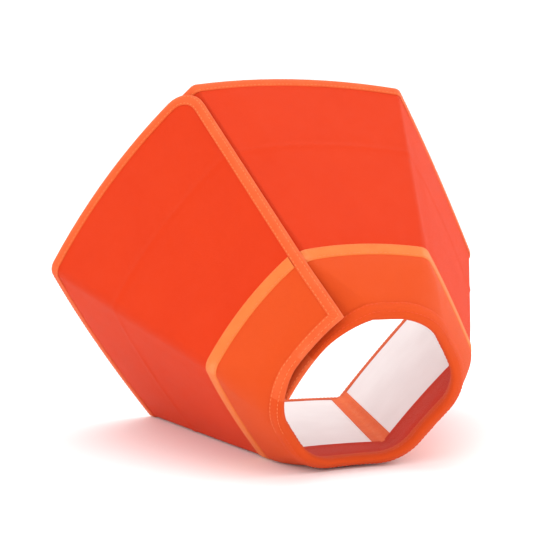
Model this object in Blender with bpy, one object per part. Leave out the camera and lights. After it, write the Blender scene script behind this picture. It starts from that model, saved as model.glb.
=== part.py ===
"""Soft fabric elizabethan collar: a six-sided cone of seven hinged panels, lying on its bottom panel.

Units are metres and +Z is up. The floor is Z = 0. The neck end points to -Y, the mouth to +Y and up.
All the fold lines meet at one point, the apex, and every radius is measured from it.
Each panel is a body of its own: a fabric shell, a stiffener sheet, a cuff segment and their tapes.
The outer flap lies over the inner flap, and hook and loop fields between them fasten the collar.
"""

import math

import bmesh
import bpy
from mathutils import Matrix, Vector

MM = 0.001

# Size of the cone, measured from the apex along a fold line
RIM_RADIUS = 406 * MM
SEAM_RADIUS = 229 * MM
NECK_RADIUS = 174 * MM
LAY_BACK = 264.9 * MM  # apex to the middle of the collar's length

# Each fold line's heading from +Y towards +X, and its rise above the floor, in degrees.
# The order is the one in which a panel's first and second fold give an outward face.
FOLDS_DEG = {
    "top_left": (-17.0, 42.2),
    "side_left": (-28.6, 19.3),
    "floor_left": (-12.5, 0.0),
    "floor_right": (12.5, 0.0),
    "side_right": (28.6, 19.3),
    "top_right": (17.0, 42.2),
}
RING = tuple(FOLDS_DEG)

# Thicknesses, and the depth of each layer below a panel's outer face
TAPE = 0.6 * MM
SHELL = 1.0 * MM
SHEET = 1.0 * MM
CUFF = 2.3 * MM
GAP = 0.3 * MM
SHELL_DEPTH = TAPE + GAP
SHEET_DEPTH = SHELL_DEPTH + SHELL + GAP
INNER_TAPE_DEPTH = SHEET_DEPTH + SHEET + GAP
STACK = INNER_TAPE_DEPTH + TAPE

# Widths and edges
TAPE_WIDTH = 8 * MM
SEAM_TAPE_WIDTH = 10 * MM
RIBBON_REACH = 7.5 * MM
FLAP_CORNER = 22 * MM
SHEET_HEM = 5 * MM
FOLD_CLEARANCE = GAP / 2

# The inner flap is set in below the outer one by the whole stack
LAP = STACK + 0.4 * MM
OUTER_FREE_EDGE = 0.0
INNER_FREE_EDGE = 5 * MM

# Hook and loop fields between the flaps
HOOK_LENGTH = (246 * MM, 378 * MM)
HOOK_WIDTH = (13 * MM, 43 * MM)
LOOP_RADII = (247 * MM, 387 * MM)
LOOP_HEM = 13 * MM
FIELD = 0.55 * MM

ARC_STEPS = 10
CORNER_STEPS = 6

ORANGE = (0.83, 0.065, 0.018)
CUFF_ORANGE = (0.88, 0.115, 0.03)
TAPE_ORANGE = (0.90, 0.15, 0.035)
SHEET_WHITE = (0.78, 0.75, 0.74)
HOOK_GREY = (0.80, 0.10, 0.03)


def fold_direction(name):
    """Unit vector from the apex along a fold line."""
    heading, rise = (math.radians(a) for a in FOLDS_DEG[name])
    flat = math.cos(rise)
    return Vector((flat * math.sin(heading), flat * math.cos(heading), math.sin(rise)))


def face_normal(start, end):
    """Outward normal of the side between two neighbouring fold lines."""
    return fold_direction(start).cross(fold_direction(end)).normalized()


def fold_angle(name):
    """How far a fold turns away from flat, in radians."""
    i = RING.index(name)
    before, after = RING[i - 1], RING[(i + 1) % len(RING)]
    return face_normal(before, name).angle(face_normal(name, after))


LAP_SET_IN = LAP / math.sin(fold_angle("top_left"))  # how far the top panel stops short of its corner


class Panel:
    """One flat side of the cone. Its frame has X along its start fold and Z out of its face."""

    def __init__(self, name, start, end, free=None, free_edge=0.0, end_set_in=0.0, apex=(0, 0, 0)):
        self.name = name
        self.folds = {"start": start, "end": end}
        self.free = free
        self.free_edge = free_edge
        self.set_in = {"start": 0.0, "end": end_set_in}
        x_axis = fold_direction(start)
        z_axis = face_normal(start, end)
        self.angle = x_axis.angle(fold_direction(end))
        self.matrix = Matrix((x_axis, z_axis.cross(x_axis), z_axis)).transposed().to_4x4()
        self.matrix.translation = Vector(apex) - Vector((0, LAY_BACK, 0))

    def edge(self, side, depth, inset=0.0):
        """Distance of an edge from its fold line. Edges at a fold are mitred so that they meet."""
        if side == self.free:
            return self.free_edge + inset
        mitre = depth * math.tan(fold_angle(self.folds[side]) / 2)
        return self.set_in[side] + FOLD_CLEARANCE + mitre

    def place(self, side, along, off, depth):
        """The point at a distance along one side's fold line and a distance off it, into the panel."""
        if side == "start":
            return Vector((along, off, -depth))
        c, s = math.cos(self.angle), math.sin(self.angle)
        return Vector((along * c + off * s, along * s - off * c, -depth))

    def arc(self, radius, depth, count=ARC_STEPS + 1, inset=0.0):
        """Points on an arc about the apex, from the start side to the end side."""
        first = math.asin(self.edge("start", depth, inset) / radius)
        last = self.angle - math.asin(self.edge("end", depth, inset) / radius)
        turns = [first + (last - first) * k / (count - 1) for k in range(count)]
        return [Vector((radius * math.cos(t), radius * math.sin(t), -depth)) for t in turns]

    def rim(self, inset, depth, tail=None):
        """Points along the mouth edge. A flap's rounded corner follows, and its free edge down to tail."""
        radius = RIM_RADIUS - inset
        if not self.free:
            return self.arc(radius, depth)
        folded = "end" if self.free == "start" else "start"
        reach = RIM_RADIUS - FLAP_CORNER
        tilt = math.asin((self.free_edge + FLAP_CORNER) / reach)
        far = self.angle - math.asin(self.edge(folded, depth) / radius)
        turns = [far + (tilt - far) * k / ARC_STEPS for k in range(ARC_STEPS)]
        flat = [(radius * math.cos(t), radius * math.sin(t)) for t in turns]
        for k in range(CORNER_STEPS + 1):
            t = tilt - (tilt + math.pi / 2) * k / CORNER_STEPS
            bend = FLAP_CORNER - inset
            flat.append(
                (reach * math.cos(tilt) + bend * math.cos(t), reach * math.sin(tilt) + bend * math.sin(t))
            )
        if tail is not None:
            flat.append((tail, self.free_edge + inset))
        points = [self.place(self.free, along, off, depth) for along, off in flat]
        return points if self.free == "end" else points[::-1]


def make_panels():
    """The chain of panels, from the outer flap round to the inner flap."""
    corner = fold_direction("top_left")
    top_in = face_normal("top_right", "top_left").cross(corner)
    inner_apex = -top_in * LAP_SET_IN
    if inner_apex.dot(face_normal("top_left", "side_left")) > 0:
        inner_apex = -inner_apex
    return {
        p.name: p
        for p in (
            Panel("flap_outer", "top_left", "side_left", free="start", free_edge=OUTER_FREE_EDGE),
            Panel("lower_left", "side_left", "floor_left"),
            Panel("bottom", "floor_left", "floor_right"),
            Panel("lower_right", "floor_right", "side_right"),
            Panel("upper_right", "side_right", "top_right"),
            Panel("top", "top_right", "top_left", end_set_in=LAP_SET_IN),
            Panel("flap_inner", "top_left", "side_left", free="end", free_edge=INNER_FREE_EDGE, apex=inner_apex),
        )
    }


def clear_scene():
    for obj in list(bpy.data.objects):
        bpy.data.objects.remove(obj, do_unlink=True)


def make_material(name, colour, roughness):
    material = bpy.data.materials.new(name)
    material.use_nodes = True
    shader = material.node_tree.nodes["Principled BSDF"]
    shader.inputs["Base Color"].default_value = (*colour, 1.0)
    shader.inputs["Roughness"].default_value = roughness
    return material


def make_frame(collection, panel):
    """An empty at the point where the panel's fold lines meet, which is on its hinge axis."""
    frame = bpy.data.objects.new(f"{panel.name}_frame", None)
    frame.empty_display_size = 0.03
    frame.matrix_world = panel.matrix
    collection.objects.link(frame)
    return frame


def add_loft(frame, name, lines, colour, roughness=0.8):
    """A closed body through matching lines of points, with a face across each end."""
    count = len(lines[0])
    sides = len(lines)
    points = [line[k] for k in range(count) for line in lines]
    faces = [list(range(sides)), list(range((count - 1) * sides, count * sides))]
    for k in range(count - 1):
        for j in range(sides):
            a, b = k * sides + j, k * sides + (j + 1) % sides
            faces.append([a, b, b + sides, a + sides])
    mesh = bpy.data.meshes.new(name)
    mesh.from_pydata(points, [], faces)
    body = bmesh.new()
    body.from_mesh(mesh)
    bmesh.ops.recalc_face_normals(body, faces=body.faces)
    body.to_mesh(mesh)
    body.free()
    mesh.polygons.foreach_set("use_smooth", [True] * len(mesh.polygons))
    mesh.set_sharp_from_angle(angle=math.radians(30))
    mesh.materials.append(make_material(name, colour, roughness))
    node = bpy.data.objects.new(name, mesh)
    node.parent = frame
    frame.users_collection[0].objects.link(node)
    return node


def plate_lines(outer, inner, top, bottom):
    """Section lines of a plate. outer and inner give a line of points at a depth."""
    return [outer(top), outer(bottom), inner(bottom), inner(top)]


def channel_lines(edge_line):
    """Section lines of a tape folded over an edge. edge_line gives the line at an inset and a depth."""
    corners = (
        (TAPE_WIDTH, 0.0),
        (0.0, 0.0),
        (0.0, STACK),
        (TAPE_WIDTH, STACK),
        (TAPE_WIDTH, INNER_TAPE_DEPTH),
        (TAPE, INNER_TAPE_DEPTH),
        (TAPE, TAPE),
        (TAPE_WIDTH, TAPE),
    )
    return [edge_line(inset, depth) for inset, depth in corners]


def add_shell(frame, panel):
    """The outer fabric, from the cuff seam to inside the rim tape."""
    count = len(panel.rim(0.0, 0.0))
    hem = SHELL_DEPTH
    lines = plate_lines(
        lambda depth: panel.rim(hem, depth),
        lambda depth: panel.arc(SEAM_RADIUS + GAP, depth, count, hem),
        SHELL_DEPTH,
        SHELL_DEPTH + SHELL,
    )
    add_loft(frame, f"{panel.name}_shell", lines, ORANGE)


def add_sheet(frame, panel):
    """The stiffener sheet inside the shell, a little short of the seam."""
    count = len(panel.rim(0.0, 0.0))
    hem = SHELL_DEPTH
    lines = plate_lines(
        lambda depth: panel.rim(hem, depth),
        lambda depth: panel.arc(SEAM_RADIUS + SHEET_HEM, depth, count, hem),
        SHEET_DEPTH,
        SHEET_DEPTH + SHEET,
    )
    add_loft(frame, f"{panel.name}_sheet", lines, SHEET_WHITE, 0.45)


def add_rim_tape(frame, panel):
    """The tape folded over the mouth edge. On a flap it carries on down the free edge to the neck."""
    lines = channel_lines(lambda inset, depth: panel.rim(inset, depth, tail=NECK_RADIUS))
    add_loft(frame, f"{panel.name}_rim_tape", lines, TAPE_ORANGE)


def add_cuff(frame, panel):
    """The padded fabric band between the seam and the neck edge."""
    lines = plate_lines(
        lambda depth: panel.arc(SEAM_RADIUS, depth, inset=SHELL_DEPTH),
        lambda depth: panel.arc(NECK_RADIUS + SHELL_DEPTH, depth, inset=SHELL_DEPTH),
        SHELL_DEPTH,
        SHELL_DEPTH + CUFF,
    )
    add_loft(frame, f"{panel.name}_cuff", lines, CUFF_ORANGE)


def add_seam_tape(frame, panel):
    """The flat tape over the seam between shell and cuff."""
    clear = TAPE_WIDTH + GAP
    lines = plate_lines(
        lambda depth: panel.arc(SEAM_RADIUS + SEAM_TAPE_WIDTH / 2, depth, inset=clear),
        lambda depth: panel.arc(SEAM_RADIUS - SEAM_TAPE_WIDTH / 2, depth, inset=clear),
        0.0,
        TAPE,
    )
    add_loft(frame, f"{panel.name}_seam_tape", lines, TAPE_ORANGE)


def add_neck_tape(frame, panel):
    """The tape folded over the neck edge of the cuff."""
    clear = TAPE_WIDTH + GAP
    lines = channel_lines(lambda inset, depth: panel.arc(NECK_RADIUS + inset, depth, inset=clear))
    add_loft(frame, f"{panel.name}_neck_tape", lines, TAPE_ORANGE)


def add_fold_ribbon(frame, before, after):
    """The ribbon inside a fold, between two panels. It is carried by the first panel."""
    to_frame = before.matrix.inverted() @ after.matrix
    radii = (SEAM_RADIUS + GAP, RIM_RADIUS - TAPE_WIDTH - GAP)

    def point(side, radius, off, depth):
        if side == "before":
            return before.place("end", radius, before.set_in["end"] + off, depth)
        return to_frame @ after.place("start", radius, off, depth)

    middle = math.tan(fold_angle(after.folds["start"]) / 2)
    corners = (
        ("before", RIBBON_REACH, INNER_TAPE_DEPTH),
        ("before", INNER_TAPE_DEPTH * middle, INNER_TAPE_DEPTH),
        ("after", RIBBON_REACH, INNER_TAPE_DEPTH),
        ("after", RIBBON_REACH, STACK),
        ("before", STACK * middle, STACK),
        ("before", RIBBON_REACH, STACK),
    )
    lines = [[point(side, radius, off, depth) for radius in radii] for side, off, depth in corners]
    add_loft(frame, f"{after.folds['start']}_ribbon", lines, TAPE_ORANGE)


def add_hook_field(frame, panel):
    """The hook strip inside the outer flap, along its free edge."""
    near, far = HOOK_WIDTH
    lines = [
        [panel.place("start", along, off, depth) for along in HOOK_LENGTH]
        for off, depth in (
            (near, INNER_TAPE_DEPTH),
            (far, INNER_TAPE_DEPTH),
            (far, INNER_TAPE_DEPTH + FIELD),
            (near, INNER_TAPE_DEPTH + FIELD),
        )
    ]
    add_loft(frame, "hook_strip", lines, HOOK_GREY, 0.6)


def add_loop_field(frame, panel):
    """The loop field over most of the inner flap's outer face."""
    clear = TAPE_WIDTH + GAP

    def edge(radius, depth):
        first = (LOOP_HEM + clear) / radius
        last = panel.angle - (INNER_FREE_EDGE + LOOP_HEM + clear) / radius
        turns = [first + (last - first) * k / ARC_STEPS for k in range(ARC_STEPS + 1)]
        return [Vector((radius * math.cos(t), radius * math.sin(t), -depth)) for t in turns]

    low, high = LOOP_RADII
    lines = plate_lines(
        lambda depth: edge(high, depth),
        lambda depth: edge(low, depth),
        TAPE - FIELD,
        TAPE,
    )
    add_loft(frame, "loop_field", lines, ORANGE, 0.9)


def build():
    clear_scene()
    collection = bpy.data.collections.new("elizabethan_collar")
    bpy.context.scene.collection.children.link(collection)
    panels = make_panels()
    frames = {name: make_frame(collection, panel) for name, panel in panels.items()}
    for name, panel in panels.items():
        add_shell(frames[name], panel)
        add_sheet(frames[name], panel)
        add_rim_tape(frames[name], panel)
        add_cuff(frames[name], panel)
        add_seam_tape(frames[name], panel)
        add_neck_tape(frames[name], panel)
    chain = list(panels.values())
    for before, after in zip(chain, chain[1:]):
        add_fold_ribbon(frames[before.name], before, after)
    add_hook_field(frames["flap_outer"], panels["flap_outer"])
    add_loop_field(frames["flap_inner"], panels["flap_inner"])


build()
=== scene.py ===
"""Looks of the soft fabric elizabethan collar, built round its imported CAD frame.

Every cloth piece is swept along the collar in the frame's own coordinates, in metres.
A station is one place along the sweep: a function of (radius from the apex, depth below the face)
that gives a point in space and the same point's place in the flat cloth.
"""

import math

import bmesh
import bpy
import numpy as np
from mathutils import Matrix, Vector, noise


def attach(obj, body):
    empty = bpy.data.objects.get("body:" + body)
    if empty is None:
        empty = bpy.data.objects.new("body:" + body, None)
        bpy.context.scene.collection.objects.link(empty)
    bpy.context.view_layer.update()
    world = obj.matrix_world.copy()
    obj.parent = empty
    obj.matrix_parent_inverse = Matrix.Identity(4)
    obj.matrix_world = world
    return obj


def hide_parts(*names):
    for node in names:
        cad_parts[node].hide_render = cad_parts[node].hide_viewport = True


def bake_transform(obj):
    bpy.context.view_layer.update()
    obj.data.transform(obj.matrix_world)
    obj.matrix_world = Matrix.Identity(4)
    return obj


MM = 0.001

# The collar's driving dimensions, the same as the CAD part's but for OUTER_FREE_EDGE
RIM = 406 * MM
SEAM = 229 * MM
NECK = 174 * MM
LAY_BACK = 264.9 * MM
LAP = 4.5 * MM
FLAP_CORNER = 22 * MM
INNER_FREE_EDGE = 5 * MM
OUTER_FREE_EDGE = -3 * MM  # the outer flap's tape reaches a little past the fold
FOLDS_DEG = {
    "top_left": (-17.0, 42.2),
    "side_left": (-28.6, 19.3),
    "floor_left": (-12.5, 0.0),
    "floor_right": (12.5, 0.0),
    "side_right": (28.6, 19.3),
    "top_right": (17.0, 42.2),
}
RING = tuple(FOLDS_DEG)

# Depths of the layers below a side's outer face
CLOTH_TOP = 0.9 * MM
CLOTH_BOTTOM = 1.9 * MM
SHEET_TOP = 2.2 * MM
SHEET_BOTTOM = 3.2 * MM

# How the cloth is shaped
FOLD_ROUNDING = 6 * MM  # radius of a fold's outer face on the cone
SOFT_FOLD_ROUNDING = 11 * MM  # and of the fold that hardly shows
SEAM_ROUNDING = 10 * MM  # at the seam
NECK_ROUNDING = 42 * MM  # and at the neck edge, where nothing stiffens it
NECK_TUCK = 4.5 * MM  # how far the soft neck edge turns in
FLAP_TUCK = 8 * MM  # and how much further the inner flap's does
SEAM_RUN_OUT = 45 * MM  # over which the seam's rounding fades into the cone's
STRIP = 12 * MM  # half width of the cloth strip that bends at a fold
FREE_GAP = 1.4 * MM  # how far cloth and sheets stop short of an edge that a tape covers
SHEET_CLEAR = 0.4 * MM  # between a stiffener sheet and the bend of a fold

# Tapes and ribbons: what shows of a folded tape, and the widths they are cut to
TAPE_WIDTH = 8 * MM
SEAM_TAPE_HALF = 5 * MM
RIBBON_HALF = 10 * MM
RIBBON_BRIDGE = 6.5 * MM  # half width of the part that spans the fold
RIBBON_THICK = 0.6 * MM
RIBBON_STITCH_INSET = 1.3 * MM
LAYER_GAP = 0.05 * MM  # between a flat piece and the one that it is sewn to
TAPE_BLEND = 7 * MM  # half of the stretch over which a piece passes from one side to the next
RIBBON_BLEND = 8 * MM
CUFF_BLEND = 14 * MM

# The relief of the shell cloth
CREASE = 332 * MM
CREASE_HEIGHT = 0.6 * MM
CREASE_WIDTH = 2.4 * MM
WRINKLE = 1.0 * MM
PUCKER = 0.26 * MM
PUCKER_REACH = 22 * MM
PUCKER_PITCH = 2.0 * MM
SHEET_WAVE = 0.25 * MM

# The padded cuff. PUFFS is how far it swells on each side: the closure presses it flat on the flaps.
PUFFS = {
    "flap_outer": 2.0 * MM,
    "lower_left": 4.0 * MM,
    "bottom": 3.0 * MM,
    "lower_right": 4.5 * MM,
    "upper_right": 4.0 * MM,
    "top": 3.5 * MM,
    "flap_inner": 0.2 * MM,
}
CUFF_STEPS = 14
CUFF_START = 4 * MM  # the stuffing starts this far below the seam
CUFF_HEM = 4.5 * MM
LINING_THICK = 0.9 * MM
INWARD_PUFF = 0.4  # the inner face's swelling, as a share of the outer's
ROLL_OUT = 2.2 * MM  # how far the rolled neck edge reaches past the flat tape's

# Hook and loop fields: their outlines are the same as the CAD part's, their thickness is not
LOOP_RADII = (247 * MM, 387 * MM)
LOOP_HEM = 13 * MM
LOOP_ROW_GAP = 2.5 * MM
HOOK_LENGTH = (246 * MM, 378 * MM)
HOOK_WIDTH = (13 * MM, 43 * MM)
FIELD_STITCH_INSET = 1.5 * MM
LOOP_THICK = 0.7 * MM
HOOK_THICK = 0.6 * MM
HOOK_GAP = 0.3 * MM
LOOP_NAP = 0.2 * MM
HOOK_NAP = 0.25 * MM

STITCH_PITCH = 3.3 * MM
STITCH_LENGTH = 2.3 * MM
STITCH_RADIUS = 0.3 * MM
STITCH_SIDES = 6
# A stitch's rings: share of the way, thickness and how high the ring stands, both in thread radii
STITCH_RINGS = (
    (0.0, 0.35, -0.62),
    (0.12, 0.8, -0.14),
    (0.5, 1.0, 0.1),
    (0.88, 0.8, -0.14),
    (1.0, 0.35, -0.62),
)
THREAD_SLOT = 1  # the place of the thread among every sewn piece's materials

# Faces along each thin plate, from its inner radius to its outer one
CLOTH_STEPS = 84
SHEET_STEPS = 30
RIBBON_STEPS = 40
HOOK_STEPS = 120
LOOP_STEPS = 90

FLOOR_CLEAR = 0.1 * MM
SHARP = math.radians(50)  # edges sharper than this aren't shaded smooth

# The camera
TARGET = (0.0, 0.0859, 0.1173)
VIEW_AZIMUTH = math.radians(-20.65)
VIEW_ELEVATION = math.radians(6.2)
VIEW_DISTANCE = 1.08
LENS_MM = 84.2


def smooth(x):
    """Rises smoothly from 0 to 1 as x does."""
    x = min(1.0, max(0.0, x))
    return x * x * (3 - 2 * x)


def direction(name):
    """The way a fold line points, away from the apex."""
    heading, rise = (math.radians(a) for a in FOLDS_DEG[name])
    flat = math.cos(rise)
    return Vector((flat * math.sin(heading), flat * math.cos(heading), math.sin(rise)))


def face_normal(start, end):
    """The way out of the side between two fold lines."""
    return direction(start).cross(direction(end)).normalized()


def fold_angle(name):
    """How far the cloth turns at a fold."""
    i = RING.index(name)
    before, after = RING[i - 1], RING[(i + 1) % len(RING)]
    return face_normal(before, name).angle(face_normal(name, after))


def cuff_share(radius):
    """0 on the cone, rising to 1 at the neck edge."""
    return smooth((SEAM - radius) / (SEAM - NECK))


def patchy(flat, per_metre, layer):
    """Smooth noise over the flat cloth, from -1 to 1."""
    return noise.noise(Vector((flat[0] * per_metre, flat[1] * per_metre, layer)))


class Side:
    """One flat side of the cone, with its frame and its place in the flat cloth.

    A flap's free end is "start" or "end", and free_edge is how far inside the fold line that edge lies.
    """

    def __init__(self, name, start, end, turned, free=None, free_edge=0.0, end_set_in=0.0, apex=None):
        self.name = name
        self.x = direction(start)
        self.z = face_normal(start, end)
        self.y = self.z.cross(self.x)
        self.angle = self.x.angle(direction(end))
        self.rim_width = 2 * RIM * math.sin(self.angle / 2)
        self.origin = (apex or Vector()) - Vector((0, LAY_BACK, 0))
        self.turned = turned
        self.free = free
        self.free_edge = free_edge
        self.set_in = {"start": 0.0, "end": end_set_in}
        self.puff = PUFFS[name]
        self.roll = 0.0 if free else 1.0
        self.tuck = NECK_TUCK + (FLAP_TUCK if name == "flap_inner" else 0.0)

    def point(self, end, along, off, depth):
        """The point at a distance along one end's fold line and a distance off it."""
        x, y = along, off
        if end == "end":
            c, s = math.cos(self.angle), math.sin(self.angle)
            x, y = along * c + off * s, along * s - off * c
        sunk = depth + self.tuck * cuff_share(math.hypot(x, y))
        place = self.origin + self.x * x + self.y * y - self.z * sunk
        c, s = math.cos(self.turned), math.sin(self.turned)
        return place, (x * c - y * s, x * s + y * c)

    def turned_point(self, end, radius, turn, depth):
        """The point at a radius and an angle off one end's fold line."""
        return self.point(end, radius * math.cos(turn), radius * math.sin(turn), depth)

    def gap(self, end, gap):
        """The distance off a fold line of something that stops a gap short of the side's edge."""
        return (self.free_edge if end == self.free else self.set_in[end]) + gap

    def turn_across(self, radius, share, start_gap, end_gap):
        """The angle off the start's fold line, a share of the way from the start edge to the end edge."""
        first = math.asin(self.gap("start", start_gap) / radius)
        last = self.angle - math.asin(self.gap("end", end_gap) / radius)
        return first + (last - first) * share

    def across(self, share, start_gap, end_gap):
        """A station at a share of the way from the start edge to the end edge."""

        def station(radius, depth):
            turn = self.turn_across(radius, share, start_gap, end_gap)
            return self.turned_point("start", radius, turn, depth)

        return station

    def cut_area(self, low, high, gaps):
        """The flat area of a piece between two radii, less the gaps at its two edges."""
        return self.angle / 2 * (high**2 - low**2) - gaps * (high - low)


class Fold:
    """The bend between one side's end and the next side's start."""

    def __init__(self, name, before, after):
        self.name = name
        self.before = before
        self.after = after
        self.angle = fold_angle(name)
        self.along = direction(name)
        self.place = after.origin + self.along * SEAM
        self.tangent = (after.z - before.z).normalized()
        self.cone_rounding = SOFT_FOLD_ROUNDING if name == "side_left" else FOLD_ROUNDING

    def rounding(self, radius):
        """The radius of the bend's outer face."""
        near_seam = smooth((SEAM + SEAM_RUN_OUT - radius) / SEAM_RUN_OUT)
        on_cone = self.cone_rounding + max(0.0, SEAM_ROUNDING - self.cone_rounding) * near_seam
        return on_cone + (NECK_ROUNDING - on_cone) * cuff_share(radius)

    def length(self, radius):
        """The flat length of a piece from the middle of one side to the middle of the next."""
        return (self.before.angle + self.after.angle) / 2 * radius

    def flat_start(self, radius):
        """How far off the fold line the bend ends and the flat side starts."""
        tuck = (self.before.tuck + self.after.tuck) / 2 * cuff_share(radius)
        return (self.rounding(radius) + tuck) * math.tan(self.angle / 2)

    def on_side(self, side, share=0.0, reach=None):
        """A station a share of the way from the bend to the side's middle, or to a reach off the fold."""
        end = "end" if side is self.before else "start"

        def station(radius, depth):
            turn = math.asin((side.set_in[end] + self.flat_start(radius)) / radius)
            last = math.asin((side.set_in[end] + reach) / radius) if reach else side.angle / 2
            turn += (last - turn) * share
            return side.turned_point(end, radius, turn, depth)

        return station

    def in_bend(self, share):
        """A station round the bend, at a share of its arc."""

        def station(radius, depth):
            bend = self.rounding(radius)
            a, flat_a = self.on_side(self.before)(radius, bend)
            b, flat_b = self.on_side(self.after)(radius, bend)
            s = math.sin(self.angle)
            out = self.before.z * (math.sin((1 - share) * self.angle) / s)
            out += self.after.z * (math.sin(share * self.angle) / s)
            flat = [p + (q - p) * share for p, q in zip(flat_a, flat_b)]
            return a.lerp(b, share) + out * (bend - depth), tuple(flat)

        return station

    def in_bridge(self, reach, share):
        """A station of a ribbon that spans the inside of the fold instead of following it."""

        def station(radius, depth):
            a, flat_a = self.on_side(self.before, 1.0, reach)(radius, depth)
            b, flat_b = self.on_side(self.after, 1.0, reach)(radius, depth)
            inner = self.before.set_in["end"] + depth * math.tan(self.angle / 2)
            corner = self.before.turned_point("end", radius, math.asin(inner / radius), depth)[0]
            place = a * (1 - share) ** 2 + corner * (2 * share * (1 - share)) + b * share**2
            flat = [p + (q - p) * share for p, q in zip(flat_a, flat_b)]
            return place, tuple(flat)

        return station

    def stations(self, reach=None, steps=6, bend_steps=8):
        """Stations over the fold, to the middles of both sides or to a distance off the fold line."""
        before = [self.on_side(self.before, k / steps, reach) for k in range(steps, 0, -1)]
        after = [self.on_side(self.after, k / steps, reach) for k in range(1, steps + 1)]
        return before + [self.in_bend(k / bend_steps) for k in range(bend_steps + 1)] + after

    def bridge_stations(self, half, bridge, steps=8):
        """Stations across a ribbon, whose middle spans the fold."""
        reaches = (half, (bridge + half) / 2)
        before = [self.on_side(self.before, 1.0, reach) for reach in reaches]
        after = [self.on_side(self.after, 1.0, reach) for reach in reversed(reaches)]
        return before + [self.in_bridge(bridge, k / steps) for k in range(steps + 1)] + after

    def blend(self, piece, reach):
        """Bakes the piece's placement into its mesh. The reach is not used."""
        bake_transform(piece)


def make_sides():
    """The seven sides in order round the cone, each turned on from the last in the flat cloth."""
    set_in = LAP / math.sin(fold_angle("top_left"))
    apex = direction("top_left").cross(face_normal("top_right", "top_left")) * set_in
    outer_end = {"free": "start", "free_edge": OUTER_FREE_EDGE}
    inner_end = {"free": "end", "free_edge": INNER_FREE_EDGE, "apex": apex}
    rows = (
        ("flap_outer", "top_left", "side_left", outer_end),
        ("lower_left", "side_left", "floor_left", {}),
        ("bottom", "floor_left", "floor_right", {}),
        ("lower_right", "floor_right", "side_right", {}),
        ("upper_right", "side_right", "top_right", {}),
        ("top", "top_right", "top_left", {"end_set_in": set_in}),
        ("flap_inner", "top_left", "side_left", inner_end),
    )
    sides = []
    turned = 0.0
    for name, start, end, extra in rows:
        sides.append(Side(name, start, end, turned, **extra))
        turned += sides[-1].angle
    return sides


def flap_rim_stations(side, steps=8, corner_steps=8, edge_steps=14):
    """Stations of a flap's edge from the middle of its rim, round the corner and down to the neck.

    Each is asked for a radius on the rim, and RIM - radius is the inset from whichever edge it is on.
    """
    tilt, reach = flap_corner(side)

    def on_rim(turn):
        return lambda radius, depth: side.turned_point(side.free, radius, turn, depth)

    def on_corner(turn):
        def station(radius, depth):
            bend = FLAP_CORNER - (RIM - radius)
            along = reach * math.cos(tilt) + bend * math.cos(turn)
            off = reach * math.sin(tilt) + bend * math.sin(turn)
            return side.point(side.free, along, off, depth)

        return station

    def on_edge(along):
        return lambda radius, depth: side.point(side.free, along, side.free_edge + RIM - radius, depth)

    def neck_corner(radius, depth):
        inset = RIM - radius
        off = side.free_edge + inset
        return side.point(side.free, math.sqrt((NECK + inset) ** 2 - off**2), off, depth)

    def on_neck(turn):
        return lambda radius, depth: side.turned_point(side.free, NECK + RIM - radius, turn, depth)

    past_tape = TAPE_WIDTH + 2 * MM
    low, high = NECK + past_tape, reach * math.cos(tilt)
    first = math.asin((side.free_edge + past_tape) / NECK)
    stations = [on_rim(side.angle / 2 + (tilt - side.angle / 2) * k / steps) for k in range(steps)]
    stations += [on_corner(tilt - (tilt + math.pi / 2) * k / corner_steps) for k in range(corner_steps + 1)]
    stations += [on_edge(high + (low - high) * k / edge_steps) for k in range(1, edge_steps + 1)]
    stations += [neck_corner]
    stations += [on_neck(first + (side.angle / 2 - first) * k / steps) for k in range(steps + 1)]
    return stations


def flap_end_stations(side, inset, steps=8):
    """Stations from the middle of a flap to a distance inside its free edge."""

    def make(share):
        def station(radius, depth):
            edge = math.asin(side.gap(side.free, inset) / radius)
            turn = side.angle / 2 + (edge - side.angle / 2) * share
            return side.turned_point(side.free, radius, turn, depth)

        return station

    return [make(k / steps) for k in range(steps + 1)]


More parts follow.
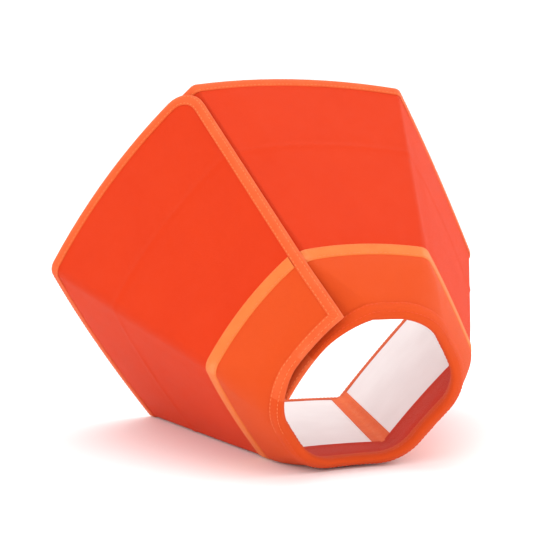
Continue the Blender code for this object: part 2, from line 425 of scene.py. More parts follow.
class Builder:
    """Collects one piece's points and faces, with each point's place in the flat cloth and its wear."""

    def __init__(self):
        self.points = []
        self.faces = []
        self.slots = []
        self.flat = []
        self.wear = []

    def sweep(self, stations, profile, lift=None, wear=None, slots=None, taped=False):
        """Faces from each station's section to the next, closed at both ends.

        profile is the section's (radius, depth) pairs, or a function of the share of the way that gives
        them. For the section's point j, lift(flat, radius, share, j) moves it out, wear(share, j) is how
        worn it is, and slots(share, j) is its face's material.
        """
        first = len(self.points)
        last = len(stations) - 1
        sections = [profile(i / last) if callable(profile) else profile for i in range(last + 1)]
        sides = len(sections[0])
        places = []
        for i, station in enumerate(stations):
            for j, (radius, depth) in enumerate(sections[i]):
                place, flat = station(radius, depth)
                if lift:
                    place = station(radius, depth - lift(flat, radius, i / last, j))[0]
                place.z = max(place.z, FLOOR_CLEAR)
                places.append(place)
                self.flat.append(flat)
                self.wear.append(wear(i / last, j) if wear else 0.0)
        if taped:
            self.flat[first:] = tape_places(places, sides)
        self.points += places
        for i in range(last):
            for j in range(sides):
                a, b = first + i * sides + j, first + i * sides + (j + 1) % sides
                self.faces.append((a, b, b + sides, a + sides))
                self.slots.append(slots(i / last, j) if slots else 0)
        self.close_ends(first, first + last * sides, sides, 0)

    def close_ends(self, first, last, sides, slot):
        """Closes a tube's first and last ring of points."""
        for ring in (first, last):
            self.faces.append(tuple(range(ring, ring + sides)))
            self.slots.append(slot)

    def stitch(self, line):
        """A row of sewn stitches along a line of (point, outward normal)."""
        places, normals = (np.array(column) for column in zip(*line))
        lengths = np.linalg.norm(np.diff(places, axis=0), axis=1)
        walked = np.concatenate([[0], np.cumsum(lengths)])
        count = int((walked[-1] - STITCH_LENGTH) / STITCH_PITCH)

        def at(distance, values):
            return np.array([np.interp(distance, walked, values[:, axis]) for axis in range(3)])

        for k in range(count):
            middle = (walked[-1] - (count - 1) * STITCH_PITCH) / 2 + k * STITCH_PITCH
            start, end = (at(middle + half, places) for half in (-STITCH_LENGTH / 2, STITCH_LENGTH / 2))
            out = at(middle, normals)
            self.one_stitch(start, end, out / np.linalg.norm(out))

    def one_stitch(self, start, end, out):
        """A thread from start to end that dips into the cloth at both, a little flattened."""
        along = (end - start) / np.linalg.norm(end - start)
        across = np.cross(along, out)
        first = len(self.points)
        sides = STITCH_SIDES
        for share, fat, stand in STITCH_RINGS:
            middle = start + (end - start) * share + out * STITCH_RADIUS * stand
            for k in range(sides):
                turn = 2 * math.pi * k / sides
                spoke = across * math.cos(turn) * 1.15 + out * math.sin(turn) * 0.75
                place = Vector(middle + spoke * STITCH_RADIUS * fat)
                place.z = max(place.z, FLOOR_CLEAR / 2)
                self.points.append(place)
                self.flat.append((share * 0.002, k * 0.0002))
                self.wear.append(0.0)
        for i in range(len(STITCH_RINGS) - 1):
            for k in range(sides):
                a, b = first + i * sides + k, first + i * sides + (k + 1) % sides
                self.faces.append((a, a + sides, b + sides, b))
                self.slots.append(THREAD_SLOT)
        self.close_ends(first, len(self.points) - sides, sides, THREAD_SLOT)

    def piece(self, name, materials, replaces):
        """Makes the object, which replaces the named CAD nodes and hides them."""
        mesh = bpy.data.meshes.new(name)
        mesh.from_pydata(self.points, [], self.faces)
        mesh.polygons.foreach_set("material_index", self.slots)
        shell = bmesh.new()
        shell.from_mesh(mesh)
        bmesh.ops.recalc_face_normals(shell, faces=shell.faces)
        shell.to_mesh(mesh)
        shell.free()
        layer = mesh.uv_layers.new(name="cloth")
        loops = np.zeros(len(mesh.loops), int)
        mesh.loops.foreach_get("vertex_index", loops)
        layer.data.foreach_set("uv", np.array(self.flat, np.float32)[loops].ravel())
        worn = mesh.attributes.new("wear", "FLOAT", "POINT")
        worn.data.foreach_set("value", np.array(self.wear, np.float32))
        mesh.polygons.foreach_set("use_smooth", [True] * len(mesh.polygons))
        mesh.set_sharp_from_angle(angle=SHARP)
        for material in materials:
            mesh.materials.append(material)
        obj = bpy.data.objects.new(name, mesh)
        bpy.context.scene.collection.objects.link(obj)
        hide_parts(*replaces)
        return obj


def tape_places(places, sides):
    """Flat places for a tape: the way walked along it, and the way across its section."""
    walked, flat = 0.0, []
    for i in range(0, len(places), sides):
        if i:
            walked += (places[i] - places[i - sides]).length
        across = 0.0
        for j in range(sides):
            if j:
                across += (places[i + j] - places[i + j - 1]).length
            flat.append((walked, across))
    return flat


def line_on(stations, radius, depth, outward=1):
    """Points and normals of a line that crosses the stations on the outside or the inside face."""
    found = []
    for station in stations:
        place = station(radius, depth)[0]
        lifted = station(radius, depth - 0.5 * MM * outward)[0]
        found.append((place, (lifted - place).normalized()))
    return found


def line_along(station, low, high, depth, outward=1, steps=24):
    """Points and normals of a line that runs from one radius to another at one station."""
    radii = [low + (high - low) * k / steps for k in range(steps + 1)]
    return [line_on([station], radius, depth, outward)[0] for radius in radii]


# The folded tape's section: inset from the edge and depth, in millimetres, outside first
FOLDED_TAPE_MM = (
    (8.0, 0.78),
    (7.8, 0.3),
    (6.7, 0.0),
    (4.2, -0.14),
    (1.6, -0.08),
    (0.35, 0.4),
    (-0.1, 1.2),
    (-0.25, 2.05),
    (-0.1, 2.9),
    (0.35, 3.7),
    (1.6, 4.16),
    (4.2, 4.2),
    (6.7, 4.1),
    (7.8, 3.8),
    (8.0, 3.35),
    (7.6, 3.28),
    (1.4, 3.22),
    (0.9, 2.05),
    (1.4, 0.88),
    (7.6, 0.84),
)
OUTSIDE_ROWS = (2, 4)  # the section's points that the rows of stitches follow
INSIDE_ROWS = (10, 12)
TAPE_NOSE = 7  # the section's outermost point
TAPE_HIDDEN = 15  # from this point on, the section is inside the fold of the tape

# The flat tape's section: distance from its middle and depth
FLAT_TAPE_MM = (
    (5.0, 0.8),
    (4.75, 0.3),
    (4.0, 0.05),
    (1.5, -0.1),
    (-1.5, -0.1),
    (-4.0, 0.05),
    (-4.75, 0.3),
    (-5.0, 0.8),
    (-4.2, 0.95),
    (4.2, 0.95),
)
SEAM_ROWS = (-3.6 * MM, 3.6 * MM)


def rim_profile():
    return [(RIM - inset * MM, depth * MM) for inset, depth in FOLDED_TAPE_MM]


def neck_profile(puff, roll):
    """The neck tape's section: flat on the flaps, and rolled round the stuffing elsewhere."""
    section = []
    for j, (inset, depth) in enumerate(FOLDED_TAPE_MM):
        fullness = math.sqrt(max(0.0, 1 - (1 - max(0.0, inset * MM) / TAPE_WIDTH) ** 2))
        rolled = roll if j < TAPE_HIDDEN else 0.0
        swell = rolled * puff * 0.92 * fullness
        out = -swell if j < TAPE_NOSE else INWARD_PUFF * swell
        section.append((NECK + inset * MM - rolled * ROLL_OUT * (1 - fullness), depth * MM + out))
    return section


def seam_profile():
    return [(SEAM + off * MM, depth * MM) for off, depth in FLAT_TAPE_MM]


def plate_profile(low, high, top, bottom, steps):
    """A thin plate's section, with steps along both of its faces."""
    radii = [low + (high - low) * k / steps for k in range(steps + 1)]
    return [(r, top) for r in reversed(radii)] + [(r, bottom) for r in radii]


def cuff_profile():
    """The cuff's section before it is stuffed. Inside, it laps over the end of the sheet."""
    shares = [k / CUFF_STEPS for k in range(CUFF_STEPS + 1)]
    outer = [(SEAM + (NECK + 0.9 * MM - SEAM) * share, CLOTH_TOP) for share in shares]
    thin = [LINING_THICK * (1 - 0.8 * smooth((share - 0.7) / 0.15)) for share in shares]
    inner = [(radius, SHEET_BOTTOM + under) for (radius, _), under in zip(outer, thin)][::-1]
    hem = SEAM + CUFF_HEM
    lap = [(hem, SHEET_BOTTOM + LINING_THICK), (hem, SHEET_BOTTOM + 0.1 * MM), (SEAM, CLOTH_BOTTOM)]
    return outer + inner + lap


def stuffing(flat, radius, j, puff, roll):
    """How far the stuffed cuff swells: out on the section's outer face, and in on its inner one."""
    start = SEAM - CUFF_START
    share = min(1.0, max(0.0, (start - radius) / (start - NECK)))
    # Fullest two thirds of the way to the neck edge, then drawn in, less so where the edge is rolled
    swell = math.sin(math.pi * 0.72 * share) ** 0.7
    pinch = 1.0 - 0.55 * roll
    swell *= 1 - pinch * smooth((share - 0.58 - 0.2 * roll) / 0.22)
    outer = puff * swell * (1 + 0.16 * patchy(flat, 25, 7.7))
    return outer if j <= CUFF_STEPS else -INWARD_PUFF * outer * roll


def wrinkle(flat, radius, share):
    """How far the cloth of a side stands out, fading at its edges so that neighbours meet it."""
    up = (radius - SEAM) / (RIM - SEAM)
    window = smooth(share * 6) * smooth((1 - share) * 6) * smooth(up * 9) * smooth((1 - up) * 9)
    return WRINKLE * window * max(0.0, 0.6 + 0.9 * patchy(flat, 11, 0.3) + 0.3 * patchy(flat, 31, 3.1))


def pucker(flat, radius, share):
    """Small gathers in the cloth where it meets the seam tape."""
    up = (radius - SEAM - SEAM_TAPE_HALF) / PUCKER_REACH
    window = smooth(up * 5) * (1 - smooth(up)) * smooth(share * 8) * smooth((1 - share) * 8)
    wave = math.sin(math.atan2(flat[1], flat[0]) * SEAM / PUCKER_PITCH + 3 * patchy(flat, 30, 5.0))
    return PUCKER * window * (0.5 + 0.5 * wave)


def crease(radius):
    """The faint ridge that runs round the cone between the rim and the seam."""
    return CREASE_HEIGHT * math.exp(-(((radius - CREASE) / CREASE_WIDTH) ** 2))


def flap_corner(side):
    """The angle from a flap's free fold line to its round corner's centre, and the centre's distance."""
    reach = RIM - FLAP_CORNER
    return math.asin((side.free_edge + FLAP_CORNER) / reach), reach


def inside_flap(side, along, off, inset):
    """Whether a point lies inside a flap's rim and its round corner."""
    tilt, reach = flap_corner(side)
    middle = (reach * math.cos(tilt), reach * math.sin(tilt))
    if along > middle[0] and math.atan2(off, along) < tilt:
        return math.hypot(along - middle[0], off - middle[1]) < FLAP_CORNER - inset
    return math.hypot(along, off) < RIM - inset


def trimmed(side, share, start_gap, end_gap, inset):
    """A station across a flap whose outer end follows the flap's round corner."""
    station = side.across(share, start_gap, end_gap)
    shrink_from = RIM - 2.2 * FLAP_CORNER

    def is_inside(radius):
        turn = side.turn_across(radius, share, start_gap, end_gap)
        if side.free == "end":
            turn = side.angle - turn
        return inside_flap(side, radius * math.cos(turn), radius * math.sin(turn), inset)

    limit, outside = shrink_from, RIM
    for _ in range(30):
        middle = (limit + outside) / 2
        limit, outside = (middle, outside) if is_inside(middle) else (limit, middle)
    squeeze = (limit - shrink_from) / (RIM - inset - shrink_from)

    def shrunk(radius, depth):
        return station(min(radius, shrink_from + (radius - shrink_from) * squeeze), depth)

    return shrunk


def side_stations(side, start_gap, end_gap, inset, steps):
    """Stations from one edge of a side to the other."""
    shares = [k / steps for k in range(steps + 1)]
    if side.free:
        return [trimmed(side, share, start_gap, end_gap, inset) for share in shares]
    return [side.across(share, start_gap, end_gap) for share in shares]


def fold_wear(share, j):
    """Cloth is worn most along the middle of a fold."""
    return smooth(1 - abs(share - 0.5) * 3.4)


def tape_wear(share, j):
    """A folded tape is worn on its edge and where it bends."""
    return max(0.5 if 4 <= j <= 10 else 0.0, 0.4 * fold_wear(share, j))


def make_shell(side, cloth):
    """The cloth of one side, between the strips that bend at its folds."""
    gaps = [FREE_GAP if side.free == end else STRIP for end in ("start", "end")]
    profile = plate_profile(SEAM, RIM - FREE_GAP, CLOTH_TOP, CLOTH_BOTTOM, CLOTH_STEPS)

    def lift(flat, radius, share, j):
        return wrinkle(flat, radius, share) + pucker(flat, radius, share) + crease(radius)

    under_loops = side.name == "flap_inner"  # the loop field needs smooth cloth
    build = Builder()
    build.sweep(side_stations(side, *gaps, FREE_GAP, 40), profile, lift=None if under_loops else lift)
    piece = build.piece(f"{side.name}_cloth", [cloth], [f"{side.name}_shell"])
    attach(piece, side.name)
    area = side.cut_area(SEAM, RIM, sum(gaps))


def make_fold_cloth(fold, cloth):
    """The strip of cloth that bends at one fold."""
    build = Builder()
    build.sweep(
        fold.stations(STRIP, steps=3),
        plate_profile(SEAM, RIM - FREE_GAP, CLOTH_TOP, CLOTH_BOTTOM, CLOTH_STEPS),
        lift=lambda flat, radius, share, j: crease(radius),
    )
    piece = build.piece(f"{fold.name}_cloth", [cloth], [f"{fold.after.name}_shell"])
    fold.blend(piece, STRIP - 2 * MM)


def sheet_gap(side, end, folds):
    """How far a stiffener sheet stops short of an edge, so that the cloth can bend outside it."""
    if side.free == end:
        return FREE_GAP
    fold = next(fold for fold in folds if side is (fold.before if end == "end" else fold.after))
    return fold.flat_start(RIM) + SHEET_CLEAR


def make_sheet(side, folds, plastic, thread):
    """A stiffener sheet. The inner flap's also shows the stitches that hold the loop field on."""
    build = Builder()
    gaps = [sheet_gap(side, end, folds) for end in ("start", "end")]
    profile = plate_profile(SEAM, RIM - FREE_GAP, SHEET_TOP, SHEET_BOTTOM, SHEET_STEPS)

    def lift(flat, radius, share, j):
        window = smooth(share * 6) * smooth((1 - share) * 6)
        return -SHEET_WAVE * window * (1 + patchy(flat, 25, 9.0))

    build.sweep(side_stations(side, *gaps, FREE_GAP, 24), profile, lift=lift)
    if side.name == "flap_inner":
        for row in (0, LOOP_ROW_GAP):
            build.stitch(field_border(side, row, SHEET_BOTTOM + 0.3 * MM, -1))
    piece = build.piece(f"{side.name}_lining", [plastic, thread], [f"{side.name}_sheet"])
    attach(piece, side.name)
    area = side.cut_area(SEAM, RIM, sum(gaps))


def field_border(side, row, depth, outward):
    """The stitched line round the loop field, a row's distance inside its edge."""
    inset = FIELD_STITCH_INSET + row
    low, high = LOOP_RADII[0] + inset, LOOP_RADII[1] - inset
    over = [side.across(k / 20, LOOP_HEM + inset, LOOP_HEM + inset) for k in range(21)]
    line = line_along(over[0], low, high, depth, outward)
    line += line_on(over, high, depth, outward)[1:]
    line += line_along(over[-1], low, high, depth, outward)[::-1][1:]
    line += line_on(over[::-1], low, depth, outward)[1:]
    return line


def sew_tape(build, stations, profile):
    """Two rows of stitches along a folded tape, on the outside and on the inside."""
    last = len(stations) - 1
    for rows, outward in ((OUTSIDE_ROWS, 1), (INSIDE_ROWS, -1)):
        for row in rows:
            line = []
            for i, station in enumerate(stations):
                radius, depth = (profile(i / last) if callable(profile) else profile)[row]
                line += line_on([station], radius, depth, outward)
            build.stitch(line)


def finish_tape(build, name, materials, nodes, length):
    """Makes a tape's object. The length that it was cut to is not used."""
    piece = build.piece(name, materials, nodes)
    return piece


def make_rim_tape(fold, materials):
    """The folded tape along the rim, over one fold, from side middle to side middle."""
    build = Builder()
    stations = fold.stations()
    build.sweep(stations, rim_profile(), wear=tape_wear, taped=True)
    sew_tape(build, stations, rim_profile())
    nodes = [f"{fold.after.name}_rim_tape"]
    piece = finish_tape(build, f"{fold.name}_rim_tape", materials, nodes, fold.length(RIM))
    fold.blend(piece, TAPE_BLEND)


def between(fold, share):
    """The puff and the roll of the neck edge, part of the way from one side's middle to the next's."""
    turned = smooth(share)
    puff = fold.before.puff + (fold.after.puff - fold.before.puff) * turned
    roll = fold.before.roll + (fold.after.roll - fold.before.roll) * turned
    return puff, roll


def make_neck_edge(fold, materials):
    """The neck edge over one fold: soft and rolled, but the third material's flat tape on the outer flap."""
    build = Builder()
    stations = fold.stations(bend_steps=12)

    def profile(share):
        return neck_profile(*between(fold, share))

    def slots(share, j):
        return 2 if fold.before.free and share < 0.5 else 0

    build.sweep(stations, profile, taped=True, slots=slots)
    sew_tape(build, stations, profile)
    nodes = [f"{fold.after.name}_neck_tape"]
    length = fold.length(NECK)
    piece = finish_tape(build, f"{fold.name}_neck_edge", materials, nodes, length)
    fold.blend(piece, CUFF_BLEND)


def sweep_seam_tape(stations, wear=None):
    """The flat tape over the seam, with its two rows of stitches."""
    build = Builder()
    build.sweep(stations, seam_profile(), wear=wear, taped=True)
    for row in SEAM_ROWS:
        build.stitch(line_on(stations, SEAM + row, 0.0))
    return build


def make_seam_tape(fold, materials):
    """The seam tape over one fold, from side middle to side middle."""
    build = sweep_seam_tape(fold.stations(), fold_wear)
    nodes = [f"{fold.after.name}_seam_tape"]
    length = fold.length(SEAM)
    piece = finish_tape(build, f"{fold.name}_seam_tape", materials, nodes, length)
    fold.blend(piece, TAPE_BLEND)


def cuff_slots(share, j):
    """The outer face is cloth and the inner face is lining."""
    return 0 if j < CUFF_STEPS else 1


def make_cuff(fold, materials):
    """The padded cuff over one fold, from side middle to side middle."""
    build = Builder()
    build.sweep(
        fold.stations(steps=12, bend_steps=14),
        cuff_profile(),
        lift=lambda flat, radius, share, j: stuffing(flat, radius, j, *between(fold, share)),
        slots=cuff_slots,
    )
    piece = build.piece(f"{fold.name}_cuff", materials, [f"{fold.after.name}_cuff"])
    fold.blend(piece, CUFF_BLEND)


def make_ribbon(fold, materials):
    """The ribbon that covers a fold inside."""
    build = Builder()
    low, high = SEAM + 2 * MM, RIM - 5 * MM
    top = SHEET_BOTTOM + LAYER_GAP
    bottom = top + RIBBON_THICK
    stations = fold.bridge_stations(RIBBON_HALF, RIBBON_BRIDGE)
    build.sweep(stations, plate_profile(low, high, top, bottom, RIBBON_STEPS), wear=fold_wear)
    for side in (fold.before, fold.after):
        row = fold.on_side(side, 1.0, RIBBON_HALF - RIBBON_STITCH_INSET)
        build.stitch(line_along(row, low + 4 * MM, high - 4 * MM, bottom, -1))
    piece = build.piece(f"{fold.name}_cover", materials, [f"{fold.name}_ribbon"])
    fold.blend(piece, RIBBON_BLEND)


def make_flap_edge(side, materials):
    """The folded tape round a flap: half of its rim, its corner, its free edge and half of its neck."""
    build = Builder()
    stations = flap_rim_stations(side)
    build.sweep(stations, rim_profile(), wear=lambda share, j: tape_wear(0, j), taped=True)
    sew_tape(build, stations, rim_profile())
    length = side.angle / 2 * (RIM + NECK) + RIM - NECK
    nodes = [f"{side.name}_rim_tape", f"{side.name}_neck_tape"]
    piece = finish_tape(build, f"{side.name}_edge_tape", materials, nodes, length)
    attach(piece, side.name)


def make_flap_seam_end(side, materials):
    """The seam tape from a flap's middle to the tape on its free edge."""
    build = sweep_seam_tape(flap_end_stations(side, TAPE_WIDTH + 0.3 * MM))
    nodes = [f"{side.name}_seam_tape"]
    length = side.angle / 2 * SEAM - TAPE_WIDTH
    piece = finish_tape(build, f"{side.name}_end_seam_tape", materials, nodes, length)
    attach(piece, side.name)


def make_flap_cuff_end(side, materials):
    """The cuff from a flap's middle to its free edge."""

    def lift(flat, radius, share, j):
        """The stuffing, pressed flat towards the tape on the free edge."""
        pressed = 1 - smooth((1 - share) * 4 - 0.6)
        swell = stuffing(flat, radius, j, side.puff, side.roll) * smooth((1 - share) * 3.2 - 0.35)
        return swell if j <= CUFF_STEPS else swell + 0.75 * LINING_THICK * pressed

    build = Builder()
    build.sweep(flap_end_stations(side, FREE_GAP, 16), cuff_profile(), lift=lift, slots=cuff_slots)
    piece = build.piece(f"{side.name}_end_cuff", materials, [f"{side.name}_cuff"])
    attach(piece, side.name)


def make_hook_strip(side, materials):
    """The hook strip on the outer flap's inner face, with its pile on the inner face."""
    build = Builder()
    low, high = HOOK_LENGTH
    near, far = HOOK_WIDTH
    top = SHEET_BOTTOM + HOOK_GAP
    bottom = top + HOOK_THICK

    def strip_station(off):
        return lambda radius, depth: side.point("start", radius, off, depth)

    def lift(flat, radius, share, j):
        return -HOOK_NAP * patchy(flat, 700, 1.0) if j > HOOK_STEPS else 0.0

    stations = [strip_station(near + (far - near) * k / 30) for k in range(31)]
    build.sweep(stations, plate_profile(low, high, top, bottom, HOOK_STEPS), lift=lift)
    for off in (near + FIELD_STITCH_INSET, far - FIELD_STITCH_INSET):
        build.stitch(line_along(strip_station(off), low + 2 * MM, high - 2 * MM, bottom, -1))
    piece = build.piece("flap_outer_hooks", materials, ["hook_strip"])
    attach(piece, side.name)


def make_loop_field(side, materials):
    """The loop field on the inner flap's outer face, with its pile on the outer face."""
    build = Builder()
    low, high = LOOP_RADII
    bottom = CLOTH_TOP - LAYER_GAP
    top = bottom - LOOP_THICK

    def lift(flat, radius, share, j):
        return LOOP_NAP * patchy(flat, 600, 4.0) if j <= LOOP_STEPS else 0.0

    stations = [side.across(k / 60, LOOP_HEM, LOOP_HEM) for k in range(61)]
    build.sweep(stations, plate_profile(low, high, top, bottom, LOOP_STEPS), lift=lift)
    for row in (0, LOOP_ROW_GAP):
        build.stitch(field_border(side, row, top, 1))
    piece = build.piece("flap_inner_loops", materials, ["loop_field"])
    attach(piece, side.name)
    area = side.cut_area(low, high, 2 * LOOP_HEM)


class Graph:
    """One procedural material, built node by node on the flat cloth's coordinates in millimetres."""

    def __init__(self, name, **sockets):
        self.material = bpy.data.materials.new(name)
        self.material.use_nodes = True
        self.tree = self.material.node_tree
        self.shader = self.tree.nodes["Principled BSDF"]
        for socket, value in sockets.items():
            self.shader.inputs[socket.replace("_", " ")].default_value = value
        uv = self.add("ShaderNodeUVMap", uv_map="cloth")
        scaled = self.add("ShaderNodeVectorMath", {0: uv.outputs["UV"], "Scale": 1000.0}, operation="SCALE")
        self.place = scaled.outputs["Vector"]
        parts = self.add("ShaderNodeSeparateXYZ", {"Vector": self.place})
        self.x, self.y = parts.outputs["X"], parts.outputs["Y"]

    def add(self, kind, inputs=None, **settings):
        node = self.tree.nodes.new(kind)
        for key, value in settings.items():
            setattr(node, key, value)
        for socket, value in (inputs or {}).items():
            if isinstance(value, bpy.types.NodeSocket):
                self.tree.links.new(value, node.inputs[socket])
            else:
                node.inputs[socket].default_value = value
        return node

    def math(self, operation, a, b=0.0):
        return self.add("ShaderNodeMath", {0: a, 1: b}, operation=operation).outputs["Value"]

    def wave(self, coordinate, pitch):
        return self.math("SINE", self.math("MULTIPLY", coordinate, 2 * math.pi / pitch))

    def noise(self, size, detail=3.0):
        """Noise from 0 to 1 whose patches are about size millimetres across."""
        node = self.add("ShaderNodeTexNoise", {"Vector": self.place, "Scale": 1 / size, "Detail": detail})
        return node.outputs["Fac"]

    def mix(self, share, a, b):
        """Colour a, passing to colour b as the share rises to 1."""
        return self.add("ShaderNodeMix", {0: share, 6: a, 7: b}, data_type="RGBA").outputs[2]

    def band(self, value, low, high):
        """Stretches low..high to 0..1."""
        node = self.add("ShaderNodeMapRange", {"Value": value, "From Min": low, "From Max": high})
        return node.outputs["Result"]

    def spread(self, value, low, high):
        """Stretches 0..1 to low..high."""
        node = self.add("ShaderNodeMapRange", {"Value": value, "To Min": low, "To Max": high})
        return node.outputs["Result"]

    def worn(self):
        """Where the piece is worn, broken up by noise."""
        wear = self.add("ShaderNodeAttribute", attribute_name="wear").outputs["Fac"]
        return self.math("MULTIPLY", wear, self.band(self.noise(5.0), 0.3, 0.7))

    def finish(self, colour, height, depth, roughness):
        """Joins up the colour, the relief (height 0 to 1, depth in millimetres) and the roughness."""
        bump = self.add("ShaderNodeBump", {"Height": height, "Distance": depth * MM, "Strength": 1.0})
        self.tree.links.new(bump.outputs["Normal"], self.shader.inputs["Normal"])
        self.tree.links.new(colour, self.shader.inputs["Base Color"])
        self.tree.links.new(roughness, self.shader.inputs["Roughness"])
        return self.material


def srgb(red, green, blue):
    """A colour given as the eye sees it, 0 to 255, as linear light."""
    return tuple((c / 255) ** 2.2 for c in (red, green, blue)) + (1.0,)


def sheen(weight, roughness, tint):
    """The soft glow of loose fibres, as shader settings."""
    return {"Sheen_Weight": weight, "Sheen_Roughness": roughness, "Sheen_Tint": tint}


def woven(name, light, hollow_shade, pale):
    """Plain-woven polyester: crossing yarns, darker in their hollows as painted shade, cloudy dye, and paler
    where it is worn.
    """
    g = Graph(name, Specular_IOR_Level=0.12, **sheen(0.1, 0.45, srgb(255, 190, 165)))
    crossing = g.math("MULTIPLY", g.wave(g.x, 0.7), g.wave(g.y, 0.7))
    slub = g.noise(1.6, 4.0)
    height = g.math("ADD", g.math("MULTIPLY", crossing, 0.5), slub)
    clouds = g.math("ADD", g.math("MULTIPLY", g.noise(34.0), 0.6), g.math("MULTIPLY", slub, 0.4))
    cloudy = g.band(clouds, 0.35, 0.65)
    # painted shade: the darker tone goes where the weave's relief dips
    shaded_threads = g.mix(g.band(crossing, -1.0, 1.0), hollow_shade, light)
    dyed = g.mix(g.math("MULTIPLY", cloudy, 0.5), shaded_threads, light)
    colour = g.mix(g.math("MULTIPLY", g.worn(), 0.2), dyed, pale)
    return g.finish(colour, height, 0.16, g.spread(g.noise(9.0), 0.66, 0.84))


def ribbed(name, light, hollow_shade, pale):
    """Woven tape with ribs across it, darker between the ribs as painted shade."""
    g = Graph(name, Specular_IOR_Level=0.15, **sheen(0.12, 0.4, srgb(255, 226, 205)))
    ribs = g.wave(g.x, 0.8)
    cross = g.wave(g.y, 0.5)
    height = g.math("ADD", g.math("MULTIPLY", ribs, 0.4), g.math("MULTIPLY", cross, 0.15))
    height = g.math("ADD", height, g.math("MULTIPLY", g.noise(1.2), 0.6))
    # painted shade: the darker tone goes where the ribs dip
    shaded_threads = g.mix(g.band(ribs, -1.3, 1.3), hollow_shade, light)
    dyed = g.mix(g.band(g.noise(14.0), 0.3, 0.7), shaded_threads, light)
    colour = g.mix(g.math("MULTIPLY", g.worn(), 0.25), dyed, pale)
    return g.finish(colour, height, 0.08, g.spread(g.noise(6.0), 0.58, 0.78))


def frosted():
    """The frosted plastic stiffener: near white, with a faint pink painted into its colour for the orange
    cloth's light that shines through it.
    """
    g = Graph("frosted_sheet", Specular_IOR_Level=0.45)
    cloudy = g.band(g.noise(40.0, 2.0), 0.3, 0.7)
    # painted light: both tones are tinted faintly pink for the orange cloth's light through the sheet
    colour = g.mix(cloudy, srgb(228, 217, 216), srgb(234, 225, 224))
    scuff = g.band(g.noise(2.2, 5.0), 0.62, 0.8)
    colour = g.mix(g.math("MULTIPLY", scuff, 0.2), colour, srgb(212, 200, 198))
    grain = g.math("ADD", g.noise(0.5, 2.0), g.math("MULTIPLY", g.noise(12.0, 2.0), 0.8))
    return g.finish(colour, grain, 0.05, g.spread(g.noise(7.0), 0.32, 0.48))


def sewing_thread(name, light, hollow_shade):
    """Twisted thread: fine stripes that run round each stitch, darker in the twist's grooves as painted
    shade.
    """
    g = Graph(name, Sheen_Weight=0.05, Specular_IOR_Level=0.2)
    twist = g.wave(g.math("ADD", g.x, g.y), 0.45)
    # painted shade: the darker tone goes in the twist's grooves, where the relief is low
    colour = g.mix(g.band(twist, -1.0, 1.0), hollow_shade, light)
    return g.finish(colour, twist, 0.04, g.spread(g.noise(1.0), 0.45, 0.65))


def pile(name, light, hollow_shade, size):
    """Hook or loop pile: a speckle of thread ends over a base darkened as painted shade between them."""
    g = Graph(name, Specular_IOR_Level=0.15, **sheen(0.15, 0.5, srgb(255, 190, 165)))
    dots = g.add("ShaderNodeTexVoronoi", {"Vector": g.place, "Scale": 1 / size}).outputs["Distance"]
    speck = g.band(dots, 0.1, 0.6)
    # painted shade: the base between the thread ends, where the relief is lowest, takes the darker tone
    colour = g.mix(speck, light, hollow_shade)
    return g.finish(colour, g.math("SUBTRACT", 1.0, speck), 0.25, g.spread(speck, 0.55, 0.85))


def floor_material():
    """Plain matt white."""
    material = bpy.data.materials.new("floor")
    material.use_nodes = True
    shader = material.node_tree.nodes["Principled BSDF"]
    shader.inputs["Base Color"].default_value = (0.98, 0.98, 0.98, 1.0)
    shader.inputs["Roughness"].default_value = 0.9
    shader.inputs["Specular IOR Level"].default_value = 0.1
    return material


def make_studio():
    """A pale floor, a white room and soft lights."""
    floor_mesh = bpy.data.meshes.new("floor")
    far = 20.0
    corners = [(-far, -far, 0), (far, -far, 0), (far, far, 0), (-far, far, 0)]
    floor_mesh.from_pydata(corners, [], [(0, 1, 2, 3)])
    floor_mesh.materials.append(floor_material())
    floor = bpy.data.objects.new("floor", floor_mesh)
    bpy.context.scene.collection.objects.link(floor)

    world = bpy.data.worlds.new("studio")
    world.use_nodes = True
    background = world.node_tree.nodes["Background"]
    background.inputs["Color"].default_value = (1.0, 1.0, 1.0, 1.0)
    background.inputs["Strength"].default_value = 1.2
    bpy.context.scene.world = world

    for name, place, size, power in (
        ("key", (-1.3, -0.9, 0.45), 1.2, 6.0),
        ("side", (1.5, -0.2, 0.5), 1.2, 8.0),
        ("top", (0.0, -0.2, 2.2), 2.4, 16.0),
    ):
        light = bpy.data.lights.new(name, "AREA")
        light.size = size
        light.energy = power
        lamp = bpy.data.objects.new(name, light)
        lamp.location = place
        lamp.rotation_euler = (Vector(TARGET) - Vector(place)).to_track_quat("-Z", "Y").to_euler()
        bpy.context.scene.collection.objects.link(lamp)


def make_camera():
    """The camera, looking at the target from the neck end, a little to its left and above."""
    camera = bpy.data.cameras.new("camera")
    camera.lens = LENS_MM
    flat = math.cos(VIEW_ELEVATION)
    across, back = math.sin(VIEW_AZIMUTH) * flat, -math.cos(VIEW_AZIMUTH) * flat
    offset = Vector((across, back, math.sin(VIEW_ELEVATION)))
    holder = bpy.data.objects.new("camera", camera)
    holder.location = Vector(TARGET) + offset * VIEW_DISTANCE
    holder.rotation_euler = (-offset).to_track_quat("-Z", "Y").to_euler()
    bpy.context.scene.collection.objects.link(holder)
    bpy.context.scene.camera = holder


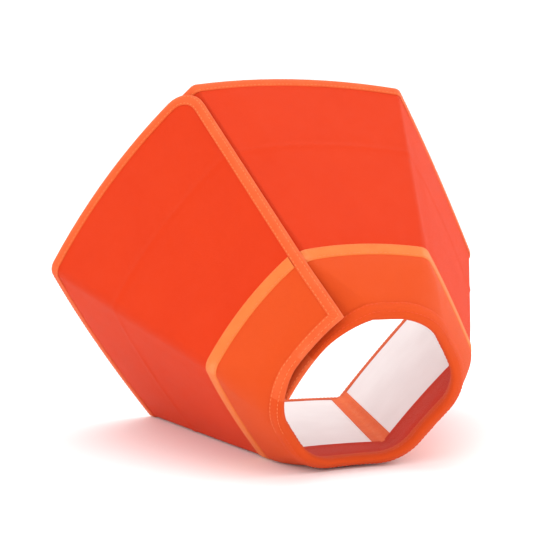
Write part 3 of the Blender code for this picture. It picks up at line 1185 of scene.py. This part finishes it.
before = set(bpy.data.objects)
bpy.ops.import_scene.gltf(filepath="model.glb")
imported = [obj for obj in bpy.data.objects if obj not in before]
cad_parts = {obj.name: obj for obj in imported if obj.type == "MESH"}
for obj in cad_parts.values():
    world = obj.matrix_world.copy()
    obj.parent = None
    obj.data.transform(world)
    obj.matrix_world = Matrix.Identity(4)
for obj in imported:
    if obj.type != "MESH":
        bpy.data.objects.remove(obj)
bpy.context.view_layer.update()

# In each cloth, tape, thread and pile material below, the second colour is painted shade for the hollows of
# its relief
cloth = woven("shell_cloth", srgb(210, 58, 20), srgb(200, 49, 15), srgb(230, 126, 94))
padding = woven("cuff_cloth", srgb(212, 78, 31), srgb(205, 68, 25), srgb(232, 136, 96))
lining = woven("cuff_lining", srgb(206, 48, 18), srgb(196, 40, 15), srgb(228, 124, 90))
tape = ribbed("edge_tape", srgb(214, 90, 46), srgb(204, 74, 34), srgb(234, 148, 110))
seam_tape = ribbed("seam_tape", srgb(220, 116, 58), srgb(212, 100, 46), srgb(238, 168, 120))
ribbon = ribbed("ribbon", srgb(232, 100, 42), srgb(220, 84, 32), srgb(242, 150, 98))
plastic = frosted()
thread = sewing_thread("orange_thread", srgb(234, 128, 74), srgb(222, 98, 50))
cuff_thread = sewing_thread("cuff_thread", srgb(226, 84, 36), srgb(208, 60, 24))
hooks = pile("hooks", srgb(226, 78, 40), srgb(170, 40, 18), 0.9)
loops = pile("loops", srgb(230, 88, 54), srgb(196, 52, 26), 0.6)

sides = make_sides()
flap_outer, flap_inner = sides[0], sides[-1]
folds = [Fold(*row) for row in zip(RING[1:] + RING[:1], sides, sides[1:])]
for side in sides:
    make_shell(side, cloth)
    make_sheet(side, folds, plastic, thread)
for fold in folds:
    make_fold_cloth(fold, cloth)
    make_ribbon(fold, [ribbon, thread])
    make_rim_tape(fold, [tape, thread])
    make_neck_edge(fold, [padding, thread if fold.before is flap_outer else cuff_thread, tape])
    make_seam_tape(fold, [seam_tape, thread])
    make_cuff(fold, [padding, lining])
for flap in (flap_outer, flap_inner):
    make_flap_edge(flap, [tape, thread])
    make_flap_seam_end(flap, [seam_tape, thread])
    make_flap_cuff_end(flap, [padding, lining])
make_hook_strip(flap_outer, [hooks, thread])
make_loop_field(flap_inner, [loops, thread])

make_studio()
make_camera()
bpy.context.scene.view_settings.view_transform = "Standard"
